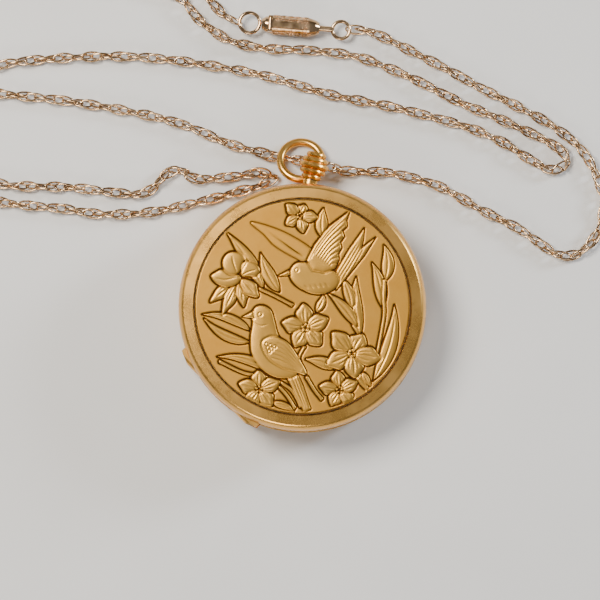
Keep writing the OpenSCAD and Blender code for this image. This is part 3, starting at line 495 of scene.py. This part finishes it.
# ---------------------------------------------------------------- carried-over pieces
CAD_FINISHES = {
    GOLD: "band pendant lid back_cover cuvette bezel bow crown",
    CHAIN_GOLD: "clasp_barrel clasp_loop clasp_tongue clasp_catch",
    STEEL: "lid_hinge_pin back_hinge_pin lid_spring lid_catch crown_stem winding_stem"
    " barrel_arbor ratchet_wheel crown_wheel click pallet_fork escape_wheel cannon_pinion",
    BRASS: "movement_ring main_plate barrel_bridge train_bridge balance_cock pallet_cock"
    " barrel barrel_lid centre_wheel third_wheel fourth_wheel balance minute_wheel hour_wheel",
    BLUED: "click_spring mainspring hairspring bridge_screws hour_hand minute_hand seconds_hand",
    RUBY: "jewels",
    ENAMEL: "dial",
    GLASS: "glass",
}
for finish, names in CAD_FINISHES.items():
    for name in names.split():
        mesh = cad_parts[name].data
        mesh.materials.clear()
        mesh.materials.append(finish)

# ---------------------------------------------------------------- lid relief
PANEL_R = 14.66
PANEL_CELLS = 306
GROUND = 0.45
RISE = 0.2


class Relief:
    """Heights over the lid's panel, from 0 at the deepest cut to 1 at the highest crest."""

    def __init__(self, x, y):
        self.x, self.y = x, y
        self.h = np.full_like(x, GROUND)

    def _near(self, line, margin):
        low, high = line.min(0) - margin, line.max(0) + margin
        return np.nonzero(
            (self.x > low[0]) & (self.x < high[0]) & (self.y > low[1]) & (self.y < high[1])
        )[0]

    def _away(self, index, line):
        px, py = self.x[index], self.y[index]
        best = np.full(len(index), 1e9)
        where = np.zeros(len(index))
        total = len(line) - 1
        for k in range(total):
            ax, ay = line[k]
            bx, by = line[k + 1] - line[k]
            size = bx * bx + by * by
            if size == 0:
                continue
            t = np.clip(((px - ax) * bx + (py - ay) * by) / size, 0, 1)
            d = np.hypot(px - ax - t * bx, py - ay - t * by)
            closer = d < best
            best = np.where(closer, d, best)
            where = np.where(closer, (k + t) / total, where)
        return best, where

    def _inside(self, index, line):
        px, py = self.x[index], self.y[index]
        odd = np.zeros(len(index), bool)
        for (ax, ay), (bx, by) in zip(line, line[1:]):
            if ay != by:
                crosses = (ay > py) != (by > py)
                odd ^= crosses & (px < (bx - ax) * (py - ay) / (by - ay) + ax)
        return odd

    def form(self, points, crest, edge=0.55, lip=0.1, cut=0.3, base=None, sharp=False):
        """A raised shape that swells from its edge to its crest, with a cut line round it."""
        line = np.array(outline(points, sharp))
        index = self._near(line, 0.5)
        far, _ = self._away(index, line)
        signed = np.where(self._inside(index, line), far, -far)
        foot = GROUND + 0.06 if base is None else base
        swell = np.clip(signed / edge, 0, 1)
        body = foot + (crest - foot) * np.sqrt(1 - (1 - swell) ** 2)
        share = np.clip(signed / lip + 0.5, 0, 1)
        share = share * share * (3 - 2 * share)
        h = self.h[index] * (1 - share) + body * share
        h -= cut * np.exp(-(((signed + 0.05) / 0.11) ** 2))
        self.h[index] = h

    def stroke(self, points, depth, width=0.1, taper=True, sharp=False):
        """A cut line, or a raised one if its depth is below nothing."""
        line = np.array([(p.x, p.y) for p in smooth_line(points, sharp)])
        index = self._near(line, width * 3)
        far, where = self._away(index, line)
        fade = np.sin(np.pi * np.clip(where * 0.88 + 0.08, 0, 1)) ** 0.6 if taper else 1
        self.h[index] -= depth * fade * np.exp(-((far / width) ** 2))

    def bead(self, x, y, r, rise):
        d = np.hypot(self.x - x, self.y - y)
        self.h += rise * np.sqrt(np.clip(1 - (d / r) ** 2, 0, 1))
        self.h -= 0.25 * np.exp(-(((d - r - 0.04) / 0.07) ** 2))


def smooth_line(points, sharp=False):
    points = [Vector((x, y, 0)) for x, y in points]
    if sharp or len(points) < 3:
        return points
    return curve_through(points, 0.16)


def outline(points, sharp):
    if sharp:
        return [*points, points[0]]
    line = curve_through([Vector((x, y, 0)) for x, y in points], 0.16, closed=True)
    return [(p.x, p.y) for p in line]


def arc_between(start, end, bend, count=9):
    """Points from start to end along a bow that leans to its left by bend."""
    (ax, ay), (bx, by) = start, end
    dx, dy = bx - ax, by - ay
    out = []
    for i in range(count):
        t = i / (count - 1)
        lean = 4 * bend * t * (1 - t)
        out.append((ax + dx * t - dy * lean, ay + dy * t + dx * lean))
    return out


def blade(art, spine, half_at, crest, rib=0.32):
    """A raised strip along a line, as wide on each side as half_at says, with a cut midrib."""
    left, right = [], []
    for i, (x, y) in enumerate(spine):
        a, b = spine[max(i - 1, 0)], spine[min(i + 1, len(spine) - 1)]
        size = math.dist(a, b)
        nx, ny = -(b[1] - a[1]) / size, (b[0] - a[0]) / size
        half = half_at(i / (len(spine) - 1))
        left.append((x + nx * half, y + ny * half))
        right.append((x - nx * half, y - ny * half))
    widest = max(half_at(i / 8) for i in range(9))
    art.form([*left, *right[::-1]], crest, edge=widest * 0.9, cut=0.4)
    if rib:
        art.stroke(spine[:-1], rib, 0.09)


def leaf(art, base, tip, wide, bend=0.0, crest=0.85):
    spine = arc_between(base, tip, bend)
    blade(art, spine, lambda t: wide / 2 * math.sin(math.pi * t**0.8) + 0.03, crest)


def stem(art, points, wide=0.42):
    line = [(p.x, p.y) for p in smooth_line(points)][::4]
    blade(art, line, lambda t: wide / 2, 0.75, rib=0)


def petal(art, x, y, angle, reach, wide, crest, point=0.12):
    """A petal that comes to a point, with a crease and fine lines from the heart."""
    c, s = math.cos(angle), math.sin(angle)

    def at(u, v):
        return (x + c * u * reach - s * v * wide, y + s * u * reach + c * v * wide)

    art.form(
        [at(0.06, 0.05), at(0.32, 0.36), at(0.66, 0.5), at(0.9, 0.27), at(0.97 + point, 0),
         at(0.9, -0.3), at(0.62, -0.48), at(0.32, -0.34), at(0.06, -0.05)],
        crest, edge=0.75, cut=0.46,
    )
    art.stroke([at(0.16, 0), at(0.5, 0.03), at(0.86, 0)], 0.3, 0.09)
    for v in (-0.2, 0.2):
        art.stroke([at(0.18, v * 0.4), at(0.45, v), at(0.66, v * 1.1)], 0.22, 0.07)


def flower(art, x, y, size, turn, reaches, heart=0.55):
    """Petals of the reaches given, set evenly round a beaded heart."""
    for i, reach in enumerate(reaches):
        angle = math.radians(turn) + FULL * i / len(reaches)
        petal(art, x, y, angle, size * reach, size * 0.78, 0.9 + 0.08 * (i % 2))
    art.bead(x, y, heart, 0.32)
    for i in range(5):
        a = FULL * i / 5 + 0.3
        art.bead(x + heart * 0.9 * math.cos(a), y + heart * 0.9 * math.sin(a), 0.15, 0.2)


def flying_bird(art):
    art.form([(-7.5, 11.2), (-4.5, 10.6), (-1.5, 9.4), (1.2, 7.6), (0.9, 5.8), (-1.2, 6.6),
              (-3.2, 7.6), (-4.4, 8.4), (-5.6, 9.6)], 0.62, edge=0.8, cut=0.22)
    for i in range(6):
        start = (0.4 - i * 0.25, 6.6 + i * 0.12)
        art.stroke([start, (-2.6 - i * 0.55, 8.2 + i * 0.42)], 0.13, 0.06)
    art.form([(3.6, 3.4), (4.6, 5.4), (6.1, 8.2), (8.0, 11.1), (7.9, 9.4), (7.7, 8.3),
              (8.6, 9.1), (9.6, 9.9), (8.2, 7.4), (6.4, 4.9), (4.6, 2.5)],
             0.8, edge=0.5, sharp=True, cut=0.34)
    for i in range(4):
        k = i * 0.36
        art.stroke([(4.3 + k, 3.9 - k * 0.6), (5.9 + k, 6.7 - k * 0.5),
                    (7.1 + k * 0.9, 8.9 - k * 0.5)], 0.24, 0.07)
    art.form([(-1.9, 4.1), (-1.8, 5.1), (-1.0, 6.0), (0.3, 6.1), (2.0, 5.9), (3.8, 5.3),
              (4.9, 4.0), (4.4, 2.7), (3.0, 1.9), (1.4, 1.8), (-0.3, 2.4), (-1.4, 3.2)],
             0.98, edge=1.4, cut=0.42)
    art.form([(0.3, 6.3), (1.3, 8.6), (3.2, 11.2), (5.9, 13.4), (5.5, 12.0), (5.6, 11.2),
              (5.0, 10.6), (5.3, 9.8), (4.8, 9.0), (5.0, 8.2), (4.6, 7.4), (4.7, 6.6),
              (4.3, 5.4), (2.8, 4.8), (1.2, 5.0)], 0.9, edge=0.9, sharp=True, cut=0.45)
    for i in range(8):
        t = i / 7
        start = (1.4 + 2.4 * (1 - t) * 0.9, 5.8 + 0.3 * t + 1.2 * t)
        end = (4.5 + 0.9 * t, 6.1 + 6.2 * t)
        middle = ((start[0] + end[0]) / 2 - 0.25, (start[1] + end[1]) / 2 + 0.1)
        art.stroke([start, middle, end], 0.32, 0.08)
    art.stroke([(0.8, 6.6), (1.9, 8.6), (3.5, 10.8), (5.4, 12.8)], 0.2, 0.08)
    art.form([(-3.5, 4.0), (-2.1, 4.9), (-1.9, 4.2)], 0.9, edge=0.4, sharp=True)
    art.stroke([(-3.2, 4.1), (-2.0, 4.45)], 0.2, 0.05)
    art.bead(-0.95, 4.95, 0.2, 0.14)
    for i in range(5):
        art.stroke([(0.2 + i * 0.7, 2.9 + i * 0.1), (0.7 + i * 0.7, 2.5 + i * 0.1)], 0.16, 0.07)


def resting_bird(art):
    art.form([(-1.9, -9.4), (-0.4, -8.9), (0.6, -10.9), (1.8, -14.0), (0.9, -14.5),
              (-0.3, -12.4)], 0.82, edge=0.4, sharp=True)
    for i in range(3):
        art.stroke([(-0.9 + i * 0.4, -9.8), (0.9 + i * 0.3, -13.7)], 0.24, 0.07)
    art.form([(-6.7, -2.6), (-6.9, -1.4), (-6.3, -0.3), (-5.2, -0.1), (-4.2, -0.8),
              (-3.7, -2.2), (-3.0, -4.2), (-1.4, -5.9), (-0.1, -8.0), (-0.6, -9.6),
              (-2.9, -9.9), (-5.1, -8.9), (-6.6, -6.9), (-6.9, -4.7)],
             1.0, edge=1.7, cut=0.42)
    art.form([(-5.3, -5.4), (-4.6, -4.5), (-3.3, -4.3), (-1.7, -5.1), (-0.3, -6.9),
              (1.0, -9.2), (-0.6, -9.0), (-2.6, -8.4), (-4.3, -7.3)], 0.98, edge=0.9,
             base=0.72, cut=0.4)
    for i in range(5):
        t = i / 4
        art.stroke([(-3.9 + 0.8 * t, -7.2 + 2.1 * t), (-2.2 + 0.7 * t, -7.7 + 1.7 * t),
                    (0.1 + 0.3 * t, -8.9 + 0.6 * t)], 0.26, 0.07)
    for row in range(3):
        for i in range(3 - row):
            art.bead(-4.6 + 0.55 * i + 0.2 * row, -5.4 - 0.5 * row - 0.15 * i, 0.17, 0.1)
    art.form([(-8.1, -1.8), (-6.7, -0.9), (-6.5, -1.9)], 0.9, edge=0.35, sharp=True)
    art.bead(-5.7, -1.35, 0.22, 0.14)
    art.stroke([(-6.4, -2.5), (-5.6, -2.9), (-4.7, -2.7)], 0.16, 0.07)


def trumpet_flower(art):
    """The flower seen from its side: long petals below, a frilled cup above."""
    for angle, reach, wide in ((222, 4.6, 1.8), (248, 4.9, 1.7), (282, 3.6, 1.7), (318, 3.3, 2.1)):
        petal(art, -8.8, 3.5, math.radians(angle), reach, wide, 0.92, point=0.16)
    art.form([(-12.7, 3.6), (-11.9, 4.3), (-11.2, 4.6), (-9.6, 4.4), (-8.6, 3.6), (-9.0, 2.7),
              (-10.4, 2.2), (-11.9, 2.6)], 0.95, edge=0.9, cut=0.46)
    art.form([(-11.0, 4.6), (-11.2, 5.8), (-10.6, 6.8), (-9.6, 7.1), (-8.5, 6.6), (-8.3, 5.4),
              (-8.9, 4.2), (-10.0, 3.9)], 1.0, edge=1.1, cut=0.46)
    art.form([(-8.4, 5.6), (-7.6, 5.9), (-6.6, 5.5), (-6.0, 4.7), (-6.5, 3.9), (-7.6, 3.8),
              (-8.6, 3.9)], 0.95, edge=0.8, cut=0.44)
    for line in (
        [(-9.0, 3.6), (-8.3, 4.9), (-7.9, 5.6)],
        [(-8.8, 3.7), (-7.6, 4.4), (-6.6, 4.7)],
        [(-9.2, 3.6), (-10.6, 3.2), (-11.8, 3.3)],
        [(-9.2, 4.4), (-9.7, 5.6), (-9.9, 6.4)],
    ):
        art.stroke(line, 0.26, 0.08)


LEAVES = (
    ((-5.4, 2.2), (-10.7, 9.6), 1.8, -0.04), ((-3.2, 1.9), (-6.0, 7.0), 1.7, 0.06),
    ((-7.0, -3.6), (-13.5, -1.7), 1.1, -0.1), ((-6.9, -5.2), (-13.3, -2.3), 1.2, 0.1),
    ((-3.4, -9.4), (-11.2, -7.4), 1.2, -0.1), ((2.4, 9.6), (2.3, 13.6), 1.6, 0.06),
    ((11.1, 4.0), (10.8, 8.9), 1.6, -0.1), ((10.9, 0.4), (9.3, 6.4), 1.6, -0.06),
    ((10.2, -9.6), (12.6, 0.7), 1.9, -0.08), ((8.1, -3.8), (7.2, 4.3), 1.8, 0.05),
    ((6.8, 0.0), (5.2, 4.2), 1.4, -0.06), ((7.6, -2.4), (3.5, 1.9), 1.4, -0.06),
    ((1.9, -0.6), (2.8, 1.8), 1.1, -0.1), ((5.2, -8.3), (0.8, -7.2), 1.5, -0.06),
    ((6.9, -8.0), (9.6, -11.4), 1.2, 0.06), ((8.6, -8.6), (9.9, -10.6), 0.8, 0.0),
    ((-3.6, -13.4), (-0.4, -14.4), 0.9, 0.08),
)
STEMS = (
    [(-6.0, 2.2), (-3.6, 1.2), (-1.3, 0.1)], [(11.1, 4.2), (11.1, 1.4), (11.2, -1.2), (10.4, -6.9)],
    [(0.6, -5.4), (-0.1, -6.9), (0.1, -8.2)],
    [(-11.0, -8.0), (-7.6, -9.4), (-4.4, -9.9), (-1.9, -11.9), (-0.1, -14.4)],
    [(-3.0, -10.2), (-0.9, -11.6), (0.7, -14.2)], [(1.0, -9.6), (2.2, -11.4), (3.3, -12.6)],
)


def draw_relief(art):
    for base, tip, wide, bend in LEAVES:
        leaf(art, base, tip, wide, bend)
    for line in STEMS:
        stem(art, line)
    flower(art, -0.9, 12.4, 2.1, 70, (0.75, 1.1, 1.0, 1.05, 1.1), heart=0.4)
    trumpet_flower(art)
    flower(art, -5.4, -11.6, 2.7, 95, (0.9, 1.0, 0.9, 1.0, 1.05), heart=0.45)
    flower(art, 5.6, -11.2, 2.5, 100, (1.0, 1.05, 0.9, 1.0, 1.0), heart=0.45)
    flower(art, 7.1, -6.1, 3.5, 64, (0.8, 1.05, 1.0, 0.9, 1.05))
    flower(art, 0.6, -2.9, 3.1, 98, (1.0, 1.0, 0.9, 0.95, 1.0))
    flying_bird(art)
    resting_bird(art)


def engraved_panel():
    """The lid's centre panel, pressed and cut with two birds among flowers."""
    lid_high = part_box("lid")[1]
    bm = bmesh.new()
    bmesh.ops.create_grid(bm, x_segments=PANEL_CELLS, y_segments=PANEL_CELLS, size=1)
    flat = np.array([v.co[:2] for v in bm.verts])
    x = flat[:, 0] * np.sqrt(1 - flat[:, 1] ** 2 / 2) * PANEL_R
    y = flat[:, 1] * np.sqrt(1 - flat[:, 0] ** 2 / 2) * PANEL_R
    art = Relief(x, y)
    draw_relief(art)
    radius = np.hypot(x, y)
    height = np.clip(art.h, 0, 1)
    fade = np.clip((PANEL_R - 0.1 - radius) / 0.35, 0, 1)
    height = GROUND + (height - GROUND) * fade
    height = np.where(radius > PANEL_R - 0.04, -0.1, height)
    top = lid_high.z - RISE * MM
    for v, px, py, h in zip(bm.verts, x, y, height):
        v.co = (px * MM, py * MM, top + RISE * MM * h)
    layer = bm.verts.layers.float.new("relief")
    for v, h in zip(bm.verts, height):
        v[layer] = h
    return piece_from(bm, "lid_relief_panel", "lid", RELIEF, slot="case_gold")


engraved_panel()


def turned_piece(name, body, finish, outline, steps=96, **more):
    """A closed outline of (radius, height) points in millimetres, spun round the case's middle."""
    bm = bmesh.new()
    verts = [bm.verts.new((r * MM, 0, z * MM)) for r, z in outline]
    for a, b in zip(verts, verts[1:] + verts[:1]):
        bm.edges.new((a, b))
    bmesh.ops.spin(
        bm, geom=bm.verts[:] + bm.edges[:], cent=(0, 0, 0), axis=(0, 0, 1), angle=FULL,
        steps=steps, use_merge=True,
    )
    bmesh.ops.remove_doubles(bm, verts=bm.verts[:], dist=1e-7)
    bmesh.ops.recalc_face_normals(bm, faces=bm.faces[:])
    return piece_from(bm, name, body, finish, **more)


def ring_outline(inner, outer, low, high):
    return [(inner, low), (inner, high), (outer, high), (outer, low)]


GROOVE_R = 14.72
LID_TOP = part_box("lid")[1].z / MM
# Dark rings of painted shade, laid in the turned grooves of the lid and the back cover.
turned_piece(
    "lid_groove", "lid", GROOVE_SHADE,
    ring_outline(GROOVE_R, 14.9, LID_TOP - 0.26, LID_TOP - 0.2),
    slot="case_gold",
)
BACK_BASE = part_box("back_cover")[0].z / MM
turned_piece(
    "back_groove", "back_cover", GROOVE_SHADE,
    ring_outline(GROOVE_R, 14.92, BACK_BASE + 0.08, BACK_BASE + 0.14),
    slot="case_gold",
)

# ---------------------------------------------------------------- dial printing
DIAL_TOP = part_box("dial")[1].z
INK_LIFT = 0.01 * MM
SECONDS_AT = Vector((0, -6.4, 0)) * MM


def dial_marks(name, centre, inner, outer, count, wide, heavy_each, heavy):
    bm = bmesh.new()
    for i in range(count):
        thick = wide * (heavy if i % heavy_each == 0 else 1)
        place = (
            Matrix.Translation(centre + Vector((0, 0, DIAL_TOP + INK_LIFT)))
            @ Matrix.Rotation(-FULL * i / count, 4, "Z")
            @ Matrix.Translation((0, (inner + outer) / 2 * MM, 0))
            @ Matrix.Diagonal((thick * MM / 2, (outer - inner) * MM / 2, 1, 1))
        )
        bmesh.ops.create_grid(bm, x_segments=1, y_segments=1, size=1, matrix=place)
    return piece_from(bm, name, "case", INK, smooth=False, slot="enamel")


dial_marks("minute_marks", Vector((0, 0, 0)), 12.5, 13.3, 60, 0.12, 5, 2.2)
dial_marks("seconds_marks", SECONDS_AT, 2.0, 2.45, 60, 0.05, 5, 2)


def dial_numerals():
    """Upright numbers round the dial, with the six left out for the seconds circle."""
    holder = bmesh.new()
    for hour in range(1, 13):
        if hour == 6:
            continue
        words = bpy.data.curves.new("number", "FONT")
        words.body = str(hour)
        words.size = 3.0 * MM
        words.align_x, words.align_y = "CENTER", "CENTER"
        words.resolution_u = 3
        shape = bpy.data.objects.new("number", words)
        bpy.context.scene.collection.objects.link(shape)
        bpy.context.view_layer.update()
        mesh = bpy.data.meshes.new_from_object(shape)
        angle = math.radians(90 - 30 * hour)
        place = Vector((math.cos(angle), math.sin(angle), 0)) * 10.4 * MM
        place.z = DIAL_TOP + INK_LIFT
        mesh.transform(Matrix.Translation(place) @ Matrix.Diagonal((0.8, 1.05, 1, 1)))
        holder.from_mesh(mesh)
        bpy.data.objects.remove(shape)
    return piece_from(holder, "dial_numerals", "case", INK, smooth=False, slot="enamel")


dial_numerals()


# ---------------------------------------------------------------- floor and light
def floor_finish():
    made = Finish("pale floor")
    cloud = made.between(made.grain(40 * MM), 0.3, 0.7)
    return made.set(
        Base_Color=made.mix(cloud, (0.7, 0.69, 0.67), (0.74, 0.73, 0.71)), Roughness=0.7
    )


def lay_floor():
    bm = bmesh.new()
    place = Matrix.Translation((0, 0, cad_box[0][2] - 0.02 * MM))
    bmesh.ops.create_grid(bm, x_segments=2, y_segments=2, size=1.5, matrix=place)
    mesh = bpy.data.meshes.new("floor")
    bm.to_mesh(mesh)
    bm.free()
    mesh.materials.append(floor_finish())
    floor = bpy.data.objects.new("floor", mesh)
    bpy.context.scene.collection.objects.link(floor)


def add_light(name, place, size, power, colour):
    data = bpy.data.lights.new(name, "AREA")
    data.shape, data.size, data.energy, data.color = "DISK", size, power, colour
    lamp = bpy.data.objects.new(name, data)
    bpy.context.scene.collection.objects.link(lamp)
    lamp.location = place
    lamp.rotation_euler = (-Vector(place)).to_track_quat("-Z", "Y").to_euler()


def light_room():
    world = bpy.data.worlds.new("studio")
    world.use_nodes = True
    world.node_tree.nodes["Background"].inputs[0].default_value = (0.9, 0.93, 1, 1)
    world.node_tree.nodes["Background"].inputs[1].default_value = 0.24
    bpy.context.scene.world = world
    add_light("key", (-0.2, 0.13, 0.4), 0.2, 2.9, (1, 0.94, 0.85))
    add_light("side", (0.36, 0.2, 0.16), 0.1, 1.6, (0.8, 0.89, 1))
    add_light("fill", (-0.1, -0.4, 0.3), 0.2, 0.8, (1, 0.95, 0.88))


lay_floor()
light_room()
